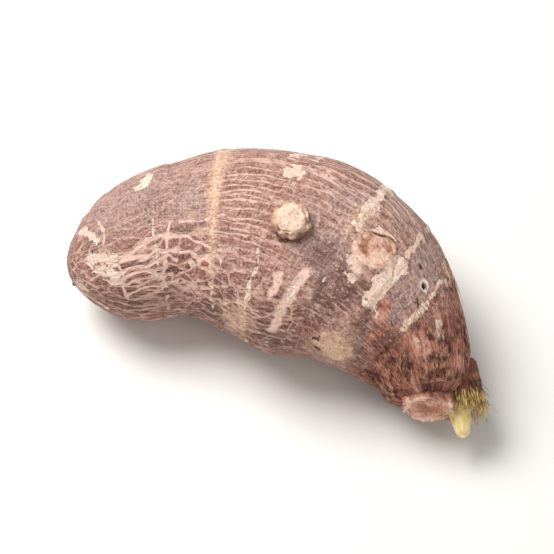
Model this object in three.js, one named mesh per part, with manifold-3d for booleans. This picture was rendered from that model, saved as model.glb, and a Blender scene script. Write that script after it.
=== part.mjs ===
// A taro cormel of the small, many-rooted kind, lying on its side as it comes to rest: a comma-shaped corm with
// leaf-scar rings, a side bud, the scars of others, the stump of its old leaf base, and a pale sprout that pushes
// out of a frayed sheath. Millimetres, +Z up, resting on z = 0. The corm runs along +X to its crown, which bends
// towards -Y, and the middle of the part's box is over the origin.
import * as THREE from "three";
import { mergeVertices } from "three/addons/utils/BufferGeometryUtils.js";
import Module from "manifold-3d";

const wasm = await Module();
wasm.setup();

const UP = new THREE.Vector3(0, 0, 1);
const TURN = 2 * Math.PI;

// The corm's stations from its base to its crown: its axis (x, y, height), then half its width and half its height.
const STATIONS = [
  [-42.5, 6.2, 12.8, 8.4, 9.0],
  [-30.5, 9.0, 14.0, 13.8, 13.2],
  [-19.5, 12.0, 15.4, 16.2, 15.2],
  [-7.5, 11.5, 17.0, 19.2, 17.5],
  [4.5, 7.3, 17.9, 21.2, 18.5],
  [15.0, 1.8, 17.0, 19.4, 17.5],
  [23.0, -6.0, 15.0, 15.2, 14.6],
  [28.2, -14.5, 13.0, 10.6, 10.8],
  [30.0, -23.2, 11.4, 7.0, 7.2],
];
const BASE_ROUND = 12; // how far in the base's round end reaches
const CROWN_ROUND = 4;
const BLUNTNESS = 2.4; // 2 is the end of an ellipse, and more is blunter
const LUMP = 0.022; // unevenness, as a share of the half width
const MIDDLE = [0.19, 0.93]; // of the part's box, as the stations count

// Leaf-scar rings: distance along the axis, and how much further along a ring is on the hollow side.
const RINGS = [
  [6.3, -0.1],
  [10.5, -0.8],
  [20.6, -3.6],
  [33.6, 1.2],
  [46.6, -0.8],
  [58.6, 0.0],
  [68.1, 3.3],
  [76.5, 3.6],
  [80.5, 2.2],
  [84.1, 1.0],
  [87.1, 0.4],
];
const RING_HALF = 0.9; // half the width of a ring's ridge
const RING_PROUD = 0.55;

// Facets.
const AROUND = 48;
const ROUND_ROWS = 7;
const LONGEST_STEP = 3.4;
const SHORTEST_STEP = 0.3;

// Side buds and scars: distance along, degrees round from the hollow side over the top, and the size.
const SIDE_BUD = { along: 49.0, round: 79, radius: 3.8, height: 3.4 };
const SCARS = [
  { along: 63.1, round: 91, radius: 3.9, oval: 1.15, lean: 35 },
  { along: 67.7, round: 25, radius: 2.9, oval: 1.4, lean: 70 },
  { along: 37.6, round: 196, radius: 3.0, oval: 1.2, lean: 0 },
  { along: 26.1, round: 312, radius: 2.6, oval: 1.2, lean: 20 },
];
const SMALL_BUDS = [
  { along: 23.6, round: 222, radius: 2.2, height: 1.7 },
  { along: 61.6, round: 208, radius: 2.6, height: 2.0 },
  { along: 72.7, round: 296, radius: 1.9, height: 1.5 },
];

// The stump at the crown's end, and the scar at the base where the cormel broke from its mother.
const STUMP = { radius: 5.4, lip: 0.8, turned: -6 };
const BASE_SCAR = { radius: 3.6, lip: 0.5, sunk: 0.9 };

// The sprout, its sheath and the cushion of the corm that holds them, on one line from foot to tip.
const SPROUT_FOOT = new THREE.Vector3(35.6, -16.6, 11.0);
const SPROUT_TIP = new THREE.Vector3(36.9, -29.2, 8.5);
const SPROUT_RADIUS = 2.4;
const SHEATH_WALL = 0.7;
const SHEATH_REACH = 8.2; // from the foot to the longest tooth
const SHEATH_TEETH = 9;
const CUSHION_REACH = 4.8;
const CUSHION_WALL = 0.8;
const GAP = 0.3;

// Coarse fibres of the old leaf sheaths, rooted in the cushion's rim but for its side by the stump.
const FIBRES = 30;
const FIBRE_RADIUS = 0.42;
const FIBRE_ARC = 2.3; // radians to each side of +X

// A small seeded generator, so that every build draws the same fibres.
let seed = 20903;
function draw(low, high) {
  seed = (seed * 1664525 + 1013904223) % 4294967296;
  return low + (high - low) * (seed / 4294967296);
}

function curveOf(points) {
  return new THREE.CatmullRomCurve3(points, false, "catmullrom", 0.5);
}
const axis = curveOf(STATIONS.map(([x, y, z]) => new THREE.Vector3(x, y, z)));
const girth = curveOf(STATIONS.map(([, , , w, h]) => new THREE.Vector3(w, h, 0)));
const LENGTH = axis.getLength();

// The two ends close like the end of a blunt ellipse.
function roundEnd(distance, reach) {
  return distance >= reach ? 1 : Math.sqrt(1 - ((reach - distance) / reach) ** BLUNTNESS);
}

// How far a ring's plane leans at a distance along: straight steps between the rings, and none at the ends.
function leanAt(along) {
  const known = [[0, 0], ...RINGS, [LENGTH, 0]];
  const next = known.findIndex(([place]) => place >= along);
  if (next <= 0) return 0;
  const [from, lean] = known[next - 1];
  const [to, nextLean] = known[next];
  return THREE.MathUtils.mapLinear(along, from, to, lean, nextLean);
}

function ridgeAt(along) {
  let proud = 0;
  for (const [place] of RINGS) {
    const off = Math.abs(along - place) / RING_HALF;
    if (off < 1) proud += RING_PROUD * (1 - off);
  }
  return proud;
}

function lumpAt(along, angle) {
  return LUMP * (Math.sin(along * 0.31 + 2 * angle - 1.27) + Math.sin(along * 0.13 - 3 * angle + 1.17)) * 0.5;
}

// A point of the corm's skin. Angle 0 is its hollow side (-Y), and a quarter turn is its top.
function skin(along, angle) {
  const s = THREE.MathUtils.clamp(along + leanAt(along) * Math.cos(angle), 0, LENGTH);
  const t = axis.getUtoTmapping(s / LENGTH);
  const forward = axis.getTangent(t);
  const side = new THREE.Vector3().crossVectors(forward, UP).normalize();
  const rise = new THREE.Vector3().crossVectors(side, forward);
  const closing = roundEnd(s, BASE_ROUND) * roundEnd(LENGTH - s, CROWN_ROUND);
  const swell = closing * (1 + lumpAt(along, angle));
  const size = girth.getPoint(t);
  const proud = ridgeAt(along) * closing;
  return axis
    .getPoint(t)
    .addScaledVector(side, (size.x * swell + proud) * Math.cos(angle))
    .addScaledVector(rise, (size.y * swell + proud) * Math.sin(angle));
}

// Rows of vertices: three to a ring, close together where the ends round off, and even steps between.
function rowPlaces() {
  const fixed = RINGS.flatMap(([place]) => [place - RING_HALF, place, place + RING_HALF]);
  for (let i = 1; i <= ROUND_ROWS; i++) {
    const share = 1 - Math.cos((i / (ROUND_ROWS + 1)) * (Math.PI / 2));
    for (const place of [BASE_ROUND * share, LENGTH - CROWN_ROUND * share])
      if (!fixed.some((other) => Math.abs(other - place) < SHORTEST_STEP)) fixed.push(place);
  }
  fixed.push(0, LENGTH);
  fixed.sort((a, b) => a - b);
  const rows = [fixed[0]];
  for (const place of fixed.slice(1)) {
    const from = rows.at(-1);
    const steps = Math.ceil((place - from) / LONGEST_STEP);
    for (let i = 1; i <= steps; i++) rows.push(THREE.MathUtils.lerp(from, place, i / steps));
  }
  return rows;
}

// The bare corm: a sphere's grid, with each of its rows moved to a ring of the skin.
function cormGeometry() {
  const rows = rowPlaces();
  const geometry = new THREE.SphereGeometry(1, AROUND, rows.length - 1);
  const place = geometry.getAttribute("position");
  for (let i = 0; i < place.count; i++) {
    const row = Math.floor(i / (AROUND + 1));
    const column = i % (AROUND + 1) % AROUND;
    const point = skin(rows[row], (column / AROUND) * TURN);
    place.setXYZ(i, point.x, point.y, point.z);
  }
  return geometry;
}

function solid(geometry) {
  const bare = geometry.index ? geometry.toNonIndexed() : geometry.clone();
  bare.deleteAttribute("normal");
  bare.deleteAttribute("uv");
  const merged = mergeVertices(bare, 1e-4);
  return new wasm.Manifold(
    new wasm.Mesh({
      numProp: 3,
      vertProperties: new Float32Array(merged.getAttribute("position").array),
      triVerts: new Uint32Array(merged.index.array),
    }),
  );
}

// A round form about +Y, from a profile that starts and ends on the axis, bottom first.
function turned(profile, sides) {
  return new THREE.LatheGeometry(profile.map(([r, y]) => new THREE.Vector2(r, y)), sides);
}

// Stands a form's +Y along a direction at a point.
function stand(geometry, point, direction) {
  const turn = new THREE.Quaternion().setFromUnitVectors(new THREE.Vector3(0, 1, 0), direction);
  return geometry.applyQuaternion(turn).translate(point.x, point.y, point.z);
}

function outwardAt(along, angle) {
  const across = skin(along, angle + 0.05).sub(skin(along, angle - 0.05));
  const forward = skin(along + 0.6, angle).sub(skin(along - 0.6, angle));
  return across.cross(forward).normalize().negate();
}

function onSkin(geometry, { along, round }) {
  const angle = THREE.MathUtils.degToRad(round);
  return stand(geometry, skin(along, angle), outwardAt(along, angle));
}

// A bud is a little corm of its own: a waist, a swell with one ring, and a blunt top.
function bud({ radius: r, height: h }) {
  const profile = [
    [0, -0.8 * r],
    [0.94 * r, -0.8 * r],
    [0.9 * r, 0.2 * h],
    [1.0 * r, 0.42 * h],
    [0.93 * r, 0.66 * h],
    [0.8 * r, 0.72 * h],
    [0.66 * r, 0.93 * h],
    [0.3 * r, h],
    [0, 0.96 * h],
  ];
  return turned(profile, 18);
}

// A scar is a low oval button with a raised lip and a dished middle.
function scar({ radius: r, oval, lean }) {
  const profile = [
    [0, -1.4],
    [1.06 * r, -1.4],
    [1.0 * r, 0.35],
    [0.84 * r, 0.75],
    [0.66 * r, 0.6],
    [0.45 * r, 0.2],
    [0, 0.35],
  ];
  return turned(profile, 18).scale(1, 1, oval).rotateY(THREE.MathUtils.degToRad(lean));
}

// The broken end of a leaf base or of the mother's neck: a lipped disc, a little hollow.
function brokenEnd({ radius: r, lip }) {
  const profile = [
    [0, -3],
    [0.9 * r, -3],
    [r, 0],
    [0.96 * r, lip],
    [0.84 * r, 0.9 * lip],
    [0.7 * r, 0.1],
    [0, -0.2],
  ];
  return turned(profile, 24);
}

const sproutWay = SPROUT_TIP.clone().sub(SPROUT_FOOT).normalize();
const SPROUT_LENGTH = SPROUT_TIP.distanceTo(SPROUT_FOOT);
const SOCKET_RADIUS = SPROUT_RADIUS + 2 * GAP + SHEATH_WALL;

// The swelling of the crown round the sprout's foot.
function cushion() {
  const r = SOCKET_RADIUS + CUSHION_WALL;
  const profile = [
    [0, -4.5],
    [0.75 * r, -3.5],
    [1.05 * r, -0.5],
    [1.04 * r, 0.5 * CUSHION_REACH],
    [r, CUSHION_REACH - 0.7],
    [0.93 * r, CUSHION_REACH],
    [0, CUSHION_REACH],
  ];
  return stand(turned(profile, 24), SPROUT_FOOT, sproutWay);
}

function socket() {
  const reach = 2 * SPROUT_LENGTH;
  const hole = new THREE.CylinderGeometry(SOCKET_RADIUS, SOCKET_RADIUS, reach, 24).translate(0, reach / 2, 0);
  return stand(hole, SPROUT_FOOT, sproutWay);
}

// A fibre: a three-sided needle, rooted in the cushion's rim and leaning away from the sprout.
function fibre(index) {
  const round = THREE.MathUtils.lerp(-FIBRE_ARC, FIBRE_ARC, index / (FIBRES - 1)) + draw(-0.1, 0.1);
  const length = draw(3.2, 6.4);
  const outward = new THREE.Vector3(Math.cos(round), 0, Math.sin(round));
  const lean = new THREE.Vector3(0, 1, 0).addScaledVector(outward, draw(0.18, 0.62)).normalize();
  const rim = SOCKET_RADIUS + draw(0.7, 1) * CUSHION_WALL;
  const root = outward.multiplyScalar(rim).setY(CUSHION_REACH - 1.2);
  const needle = new THREE.ConeGeometry(FIBRE_RADIUS, length, 3).translate(0, length / 2, 0);
  return stand(stand(needle, root, lean), SPROUT_FOOT, sproutWay);
}

// The sheath: a sleeve round the sprout, flaring a little, torn into teeth of uneven depth.
function sheath() {
  const inner = SPROUT_RADIUS + GAP;
  const outer = inner + SHEATH_WALL;
  const profile = [
    [inner, 0.4],
    [outer, 0.4],
    [outer, CUSHION_REACH],
    [outer + 0.35, SHEATH_REACH],
    [outer - 0.25, SHEATH_REACH],
    [inner, CUSHION_REACH],
    [inner, 0.4],
  ];
  let sleeve = solid(turned(profile, 27));
  for (let i = 0; i < SHEATH_TEETH; i++) {
    const depth = draw(1.6, 3.0);
    const notch = new THREE.Shape([
      new THREE.Vector2(0, SHEATH_REACH - depth),
      new THREE.Vector2(draw(0.9, 1.5), SHEATH_REACH + 1),
      new THREE.Vector2(draw(-1.5, -0.9), SHEATH_REACH + 1),
    ]);
    const cutter = new THREE.ExtrudeGeometry(notch, { depth: 6, bevelEnabled: false });
    cutter.rotateY((i / SHEATH_TEETH) * TURN + draw(-0.1, 0.1));
    sleeve = sleeve.subtract(solid(cutter));
  }
  return sleeve;
}

// The sprout: three blunt scales, one in another, each longer and leaning its own way.
function sprout() {
  const scales = [
    { radius: SPROUT_RADIUS, length: 0.72 * SPROUT_LENGTH, lean: 0, facing: 0 },
    { radius: 0.84 * SPROUT_RADIUS, length: 0.88 * SPROUT_LENGTH, lean: 0.03, facing: 2.2 },
    { radius: 0.62 * SPROUT_RADIUS, length: SPROUT_LENGTH, lean: 0.02, facing: 4.4 },
  ];
  let whole = null;
  for (const { radius: r, length: l, lean, facing } of scales) {
    const profile = [
      [0, 0.4],
      [r, 0.4],
      [r, 0.55 * l],
      [0.96 * r, 0.74 * l],
      [0.8 * r, 0.88 * l],
      [0.5 * r, 0.97 * l],
      [0, l],
    ];
    const form = turned(profile, 20).rotateX(lean).rotateY(facing);
    whole = whole ? whole.add(solid(form)) : solid(form);
  }
  return whole;
}

function geometryOf(manifold) {
  const { vertProperties, triVerts } = manifold.getMesh();
  const geometry = new THREE.BufferGeometry();
  geometry.setAttribute("position", new THREE.BufferAttribute(vertProperties, 3));
  geometry.setIndex(new THREE.BufferAttribute(triVerts, 1));
  geometry.computeVertexNormals();
  return geometry;
}

// The corm with all that grew on it fused in, its socket cut, and the spot that it rests on made flat.
function corm() {
  let whole = solid(cormGeometry());
  const stumpWay = new THREE.Vector3(Math.sin(THREE.MathUtils.degToRad(STUMP.turned)), -1, 0).normalize();
  const grown = [
    onSkin(bud(SIDE_BUD), SIDE_BUD),
    ...SMALL_BUDS.map((one) => onSkin(bud(one), one)),
    ...SCARS.map((one) => onSkin(scar(one), one)),
    stand(brokenEnd(STUMP), axis.getPoint(1), stumpWay),
    stand(brokenEnd(BASE_SCAR), axis.getPointAt(BASE_SCAR.sunk / LENGTH), axis.getTangent(0).negate()),
    cushion(),
  ];
  for (const form of grown) whole = whole.add(solid(form));
  whole = whole.subtract(solid(socket()));
  for (let i = 0; i < FIBRES; i++) whole = whole.add(solid(fibre(i)));
  const table = new THREE.BoxGeometry(200, 200, 40).translate(0, 0, -20);
  return whole.subtract(solid(table));
}

const skinMaterial = new THREE.MeshStandardMaterial({ color: 0x8f6f63, roughness: 0.9, metalness: 0 });
const sheathMaterial = new THREE.MeshStandardMaterial({ color: 0x8a5a3a, roughness: 0.9, metalness: 0 });
const sproutMaterial = new THREE.MeshStandardMaterial({ color: 0xe6d58c, roughness: 0.5, metalness: 0 });

function named(name, manifold, material) {
  const mesh = new THREE.Mesh(geometryOf(manifold), material);
  mesh.name = name;
  return mesh;
}

const part = new THREE.Group();
part.position.set(-MIDDLE[0], -MIDDLE[1], 0);
part.add(named("corm", corm(), skinMaterial));

// The sheath and the sprout are made standing along +Y, in a group set on the corm's socket.
const growth = new THREE.Group();
growth.position.copy(SPROUT_FOOT);
growth.quaternion.setFromUnitVectors(new THREE.Vector3(0, 1, 0), sproutWay);
growth.add(named("sheath", sheath(), sheathMaterial));
growth.add(named("sprout", sprout(), sproutMaterial));
part.add(growth);

export default part;
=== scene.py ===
# %% [markdown]
# # A taro cormel, finished in Blender
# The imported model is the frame: it says where each piece is and how large. This lesson gives that frame its
# looks. A taro cormel is a swollen stem, so it has what a stem has: rings where its leaves stood, a side
# bud above some rings, and a growing tip. Its skin is dry cork that has split into a net as the flesh
# swelled.

import math

import bmesh
import bpy
import numpy as np
from mathutils import Matrix, Vector, noise


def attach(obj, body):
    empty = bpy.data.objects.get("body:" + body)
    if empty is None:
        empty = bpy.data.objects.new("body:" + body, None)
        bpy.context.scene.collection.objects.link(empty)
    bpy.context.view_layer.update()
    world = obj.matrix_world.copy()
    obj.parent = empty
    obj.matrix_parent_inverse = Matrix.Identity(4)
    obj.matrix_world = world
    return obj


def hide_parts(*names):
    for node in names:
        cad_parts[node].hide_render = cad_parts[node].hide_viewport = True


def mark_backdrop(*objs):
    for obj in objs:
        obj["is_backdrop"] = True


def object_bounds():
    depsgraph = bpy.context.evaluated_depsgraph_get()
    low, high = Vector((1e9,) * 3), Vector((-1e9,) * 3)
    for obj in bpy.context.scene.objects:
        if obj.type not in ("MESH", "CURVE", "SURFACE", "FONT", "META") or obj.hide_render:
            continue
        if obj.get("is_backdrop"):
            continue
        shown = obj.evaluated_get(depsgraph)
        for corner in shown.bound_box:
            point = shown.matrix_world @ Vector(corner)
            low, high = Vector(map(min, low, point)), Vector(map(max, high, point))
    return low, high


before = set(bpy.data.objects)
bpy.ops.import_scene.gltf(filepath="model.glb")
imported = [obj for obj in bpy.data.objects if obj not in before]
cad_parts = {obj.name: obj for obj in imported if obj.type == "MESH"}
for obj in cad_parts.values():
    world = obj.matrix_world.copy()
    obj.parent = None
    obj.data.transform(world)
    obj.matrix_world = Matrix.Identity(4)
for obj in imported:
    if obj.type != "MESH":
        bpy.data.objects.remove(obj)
cad_box = [list(corner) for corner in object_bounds()]
MM = 0.001
print("frame:", sorted(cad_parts), "box in mm:", [[round(x / MM, 1) for x in c] for c in cad_box])

# %% [markdown]
# ## The camera
# The camera comes first, so that every later step can be judged through it. A long lens keeps the root's
# proportions as a photographer's would, and it looks down on the root at 60 degrees.

# %% Camera
LENS = 120
SENSOR = 36
ELEVATION = math.radians(60)
FILLED = 0.78  # the share of the picture's width that the root fills

low, high = (Vector(corner) for corner in cad_box)
aim = (low + high) / 2
width_seen = (high.x - low.x) / FILLED
distance = width_seen / SENSOR * LENS
back = Vector((0, -math.cos(ELEVATION), math.sin(ELEVATION)))


def new_object(name, data):
    made = bpy.data.objects.new(name, data)
    bpy.context.scene.collection.objects.link(made)
    return made


camera_data = bpy.data.cameras.new("camera")
camera_data.lens = LENS
camera_data.sensor_width = SENSOR
camera = new_object("camera", camera_data)
camera.location = aim + back * distance
camera.rotation_euler = (-back).to_track_quat("-Z", "Y").to_euler()
bpy.context.scene.camera = camera
print("camera at", [round(x, 3) for x in camera.location])

# %% [markdown]
# ## The corm's form as a formula
# The corm is a round form swept along a bent axis. Its stations are the frame's own: where the axis passes,
# and half the width and half the height there. One smooth curve through them, measured by its length, gives
# a section for any distance along. Every later piece asks this formula where the skin is.

# %% Stations, rings and the curve through them
STATIONS = np.array([
    # x, y, height of the axis, half width, half height
    [-42.5, 6.2, 12.8, 8.4, 9.0],
    [-30.5, 9.0, 14.0, 13.8, 13.2],
    [-19.5, 12.0, 15.4, 16.2, 15.2],
    [-7.5, 11.5, 17.0, 19.2, 17.5],
    [4.5, 7.3, 17.9, 21.2, 18.5],
    [15.0, 1.8, 17.0, 19.4, 17.5],
    [23.0, -6.0, 15.0, 15.2, 14.6],
    [28.2, -14.5, 13.0, 10.6, 10.8],
    [30.0, -23.2, 11.4, 7.0, 7.2],
])
MIDDLE = np.array([0.19, 0.93, 0.0])  # the frame's origin, as the stations count
BASE_ROUND = 12
CROWN_ROUND = 4
BLUNTNESS = 2.4
LUMP = 0.022
UP = np.array([0.0, 0.0, 1.0])

# Leaf-scar rings: distance along, how much further along they are on the hollow side, and how bold they are.
RINGS = np.array([
    [6.3, -0.1, 0.5], [10.5, -0.8, 0.35], [20.6, -3.6, 0.75], [33.6, 1.2, 1.0], [46.6, -0.8, 0.7],
    [58.6, 0.0, 0.8], [68.1, 3.3, 1.0], [76.5, 3.6, 1.0], [80.5, 2.2, 0.6], [84.1, 1.0, 0.5],
    [87.1, 0.4, 0.4],
])


def curve_at(points, share):
    """The smooth curve through points at shares of its way, from 0 to 1."""
    spans = len(points) - 1
    place = np.clip(share, 0, 1) * spans
    first = np.minimum(place.astype(int), spans - 1)
    f = (place - first)[:, None]
    ends = [2 * points[0] - points[1]], points, [2 * points[-1] - points[-2]]
    before, start, end, after = (np.concatenate(ends)[first + k] for k in range(4))
    slopes = (end - before) * f
    bends = (2 * before - 5 * start + 4 * end - after) * f**2
    twists = (3 * start - before - 3 * end + after) * f**3
    return 0.5 * (2 * start + slopes + bends + twists)


AXIS = STATIONS[:, :3] - MIDDLE
GIRTH = STATIONS[:, 3:]
shares = np.linspace(0, 1, 2001)
steps = np.linalg.norm(np.diff(curve_at(AXIS, shares), axis=0), axis=1)
run = np.concatenate([[0], np.cumsum(steps)])
LENGTH = run[-1]
print("axis length in mm:", round(LENGTH, 1))

# %% [markdown]
# ## A point of the skin
# A point is named by its distance along and its angle round: 0 degrees is the hollow side, 90 the top, 180
# the bulging back and 270 the underside. Lean, lumps and round ends are the frame's; relief is what stands
# proud.

# %% The skin's formula


def round_end(distance, reach):
    inside = np.clip((reach - distance) / reach, 0, 1)
    return np.sqrt(1 - inside**BLUNTNESS)


def section(s):
    """The axis point, the ways sideways, up and forward, and the two half sizes, at distances along."""
    share = np.interp(s, run, shares)
    forward = curve_at(AXIS, share + 1e-4) - curve_at(AXIS, share - 1e-4)
    forward /= np.linalg.norm(forward, axis=1)[:, None]
    side = np.cross(forward, UP)
    side /= np.linalg.norm(side, axis=1)[:, None]
    return curve_at(AXIS, share), side, np.cross(side, forward), forward, curve_at(GIRTH, share)


def along_axis(along, angle):
    """A leaning ring's points lie further along on one side: this gives their real distance along."""
    places = np.concatenate([[0], RINGS[:, 0], [LENGTH]])
    leans = np.concatenate([[0], RINGS[:, 1], [0]])
    return np.clip(along + np.interp(along, places, leans) * np.cos(angle), 0, LENGTH)


def skin(along, angle, relief=0.0):
    """Points of the skin in mm, for arrays of distances along and of angles round."""
    s = along_axis(along, angle)
    centre, side, rise, forward, size = section(s)
    closing = round_end(s, BASE_ROUND) * round_end(LENGTH - s, CROWN_ROUND)
    lumps = np.sin(along * 0.31 + 2 * angle - 1.27) + np.sin(along * 0.13 - 3 * angle + 1.17)
    swell = closing * (1 + LUMP * lumps * 0.5)
    proud = relief * closing
    across = (size[:, 0] * swell + proud) * np.cos(angle)
    upward = (size[:, 1] * swell + proud) * np.sin(angle)
    return centre + side * across[:, None] + rise * upward[:, None]


def seat(along, degrees):
    """A matrix that stands a form's +Z out of the skin, with its +X along the corm."""
    angle = np.radians(degrees)
    near = [(0, 0), (0.6, 0), (-0.6, 0), (0, 0.05), (0, -0.05)]
    here, ahead, behind, over, under = (
        skin(np.array([along + a]), np.array([angle + b]))[0] for a, b in near
    )
    x = Vector(ahead - behind).normalized()
    z = Vector(over - under).cross(x).normalized()
    if z.dot(Vector(here - section(np.array([along]))[0][0])) < 0:
        z.negate()
    y = z.cross(x)
    turn = Matrix((x, y, z)).transposed().to_4x4()
    return Matrix.Translation(Vector(here)) @ turn


print("top of the middle:", skin(np.array([45.0]), np.radians([90.0]))[0].round(1))

# %% [markdown]
# ## Small helpers
# Colours are given as on a screen and turned to linear light once, here. Noise is asked for by the size of
# its bumps in mm. A finished mesh becomes an object at the origin, scaled from mm to metres in its own
# points.

# %% Helpers


def colour(code):
    """Linear light of an sRGB hex code such as c9a697."""
    parts = [int(code[i:i + 2], 16) / 255 for i in (0, 2, 4)]
    return (*[p / 12.92 if p <= 0.04045 else ((p + 0.055) / 1.055) ** 2.4 for p in parts], 1.0)


def bumps(points, size, seed):
    """Smooth noise of about -1 to 1 at points in mm, with bumps of about that size."""
    shift = Vector((seed * 17.3, seed * 5.1, seed * 9.7))
    return np.array([noise.noise(Vector(p) + shift) for p in points / np.array(size)]) * 1.6


def smooth(value, start, end):
    """0 before start, 1 past end, and an even slope between; start may be the larger one."""
    t = np.clip((value - start) / (end - start), 0, 1)
    return t * t * (3 - 2 * t)


def wrapped(angles):
    """Angles brought to between minus and plus half a turn."""
    return (angles + math.pi) % (2 * math.pi) - math.pi


def points_of(mesh):
    places = np.zeros(len(mesh.vertices) * 3)
    mesh.vertices.foreach_get("co", places)
    return places.reshape(-1, 3)


def placed_in(local, place):
    return local @ np.array(place.to_3x3()).T + np.array(place.translation)


def mesh_from(form, name):
    mesh = bpy.data.meshes.new(name)
    form.to_mesh(mesh)
    form.free()
    return mesh


def finish_piece(name, mesh, points, material):
    """Gives the mesh its points, in mm, and makes it a piece that rides on the root."""
    mesh.vertices.foreach_set("co", (points * MM).astype(np.float32).ravel())
    mesh.shade_smooth()
    mesh.materials.append(material)
    mesh.update()
    piece = new_object(name, mesh)
    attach(piece, "root")
    mesh.calc_loop_triangles()
    print(name, "has", len(mesh.loop_triangles), "triangles")
    return piece


def keep(mesh, name, values, kind="FLOAT"):
    """Keeps a value for each vertex as an attribute that a material can read."""
    attribute = mesh.attributes.new(name, kind, "POINT")
    field = "value" if kind == "FLOAT" else "vector"
    attribute.data.foreach_set(field, values.astype(np.float32).ravel())

# %% [markdown]
# ## Helpers for materials
# One function adds a node with all that belongs to it. The others are short ways to say what every material
# here needs: noise drawn out along the growth, values added up by weight, tints laid over each other.

# %% Material helpers


def add(tree, kind, links=(), stops=(), out=0, **settings):
    """Adds a shader node with its settings and a ramp's colours, and gives one of its outputs. Its values or
    links come by the names of their sockets, or in the sockets' order."""
    made = tree.nodes.new("ShaderNode" + kind)
    for key, value in settings.items():
        setattr(made, key, value)
    for key, value in links.items() if isinstance(links, dict) else enumerate(links):
        if isinstance(value, bpy.types.NodeSocket):
            tree.links.new(value, made.inputs[key])
        else:
            made.inputs[key].default_value = value
    if stops:
        ramp = made.color_ramp.elements
        while len(ramp) < len(stops):
            ramp.new(0.5)
        for element, (place, code) in zip(ramp, stops):
            element.position = place
            element.color = colour(code)
    return made.outputs[out]


def noise_of(tree, place, per_mm, detail, drawn_out=1, roughness=0.5):
    """Noise with so many bumps to a mm; a drawn_out under 1 makes them longer along Z by one over it."""
    squeeze = (1, 1, drawn_out) if np.isscalar(drawn_out) else drawn_out
    at = add(tree, "Mapping", {"Vector": place, "Scale": squeeze})
    return add(tree, "TexNoise", {"Vector": at, "Scale": per_mm, "Detail": detail, "Roughness": roughness})


def sum_of(tree, *parts, mean=False):
    """Values times their weights, added up; the mean is that over all the weights."""
    total = 0.0
    for value, weight in parts:
        total = add(tree, "Math", (value, weight, total), operation="MULTIPLY_ADD")
    if mean:
        total = add(tree, "Math", (total, sum(part[1] for part in parts)), operation="DIVIDE")
    return total


def layered(tree, base, layers):
    """Lays each tint, a code or an output, over the ones before it where its mask says."""
    for mask, tint in layers:
        tint = colour(tint) if isinstance(tint, str) else tint
        base = add(tree, "Mix", {0: mask, 6: base, 7: tint}, out=2, data_type="RGBA")
    return base


def new_material(name):
    material = bpy.data.materials.new(name)
    material.use_nodes = True
    return material, material.node_tree, material.node_tree.nodes["Principled BSDF"]


def finish_shader(tree, shader, base, roughness, specular=0.5, bump=None):
    """Links the base colour and a bump, given as its height, strength and depth in mm."""
    tree.links.new(base, shader.inputs["Base Color"])
    shader.inputs["Roughness"].default_value = roughness
    shader.inputs["Specular IOR Level"].default_value = specular
    if bump:
        height, strength, depth = bump
        normal = add(tree, "Bump", {"Height": height, "Strength": strength, "Distance": depth * MM})
        tree.links.new(normal, shader.inputs["Normal"])

# %% [markdown]
# ## Skin: a dense sphere moved onto the formula
# The skin could be the frame's faceted solid with a bump map, but its rings and scars then look drawn on.
# So a fine sphere is made by one operator, and each vertex is moved to the skin's formula with real relief:
# rings that wander a little, streaks that follow the growth, folds at the crown, and the low buttons of bud
# scars. Poles are at the two ends, and rows are closer together there, because the ends are round.

# %% The fine sphere and its coordinates
AROUND = 360
ROWS = 272
END_ROWS = 0.62  # how much more the rows crowd towards the ends
CYLINDER = 17  # radius in mm
LEAST_SHARE = 0.02  # of that radius, where the cylinder closes

sphere = bmesh.new()
bmesh.ops.create_uvsphere(sphere, u_segments=AROUND, v_segments=ROWS, radius=1)
skin_mesh = mesh_from(sphere, "corm_skin")

ball = points_of(skin_mesh)
polar = np.arccos(np.clip(ball[:, 2], -1, 1)) / math.pi
angle = np.arctan2(ball[:, 1], ball[:, 0])
eased = (1 - np.cos(polar * math.pi)) / 2
along = LENGTH * (END_ROWS * eased + (1 - END_ROWS) * polar)
s = along_axis(along, angle)

# Growth coordinates: the skin laid on an even cylinder, in mm, so that patterns follow the body with no
# seam. The cylinder closes at the base, where the patterns would else run together in a point.
cylinder = CYLINDER * np.maximum(round_end(s, BASE_ROUND), LEAST_SHARE)
growth = np.stack([cylinder * np.cos(angle), cylinder * np.sin(angle), s], axis=1)
print("vertices:", len(ball))

# %% [markdown]
# ## Rings, crown and streaks
# Each old leaf left a ring that is a low ridge with a step on its crown side. The ring's distance is kept
# for the material, which draws the pale line of bare cork on it. Past the last bold ring the leaf bases
# haven't rotted off yet: the skin is red brown and folded lengthwise.

# %% Relief of rings and folds
CROWN_STARTS = 74.1
CROWN_REACHED = 82.1
RIDGE = 0.28  # mm proud
GROOVE = 0.14  # mm deep, on the crown side of a ridge
GROOVE_AT = 1.1  # mm past the ridge

wander = 0.55 * bumps(growth, 7.0, 1) + 0.22 * bumps(growth, 2.2, 2)
to_ring = (along + wander)[:, None] - RINGS[:, 0]
nearest = np.abs(to_ring).argmin(axis=1)
ring_distance = to_ring[np.arange(len(along)), nearest]
boldness = RINGS[nearest, 2] * (0.8 + 0.5 * bumps(growth, 5.0, 3))

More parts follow.
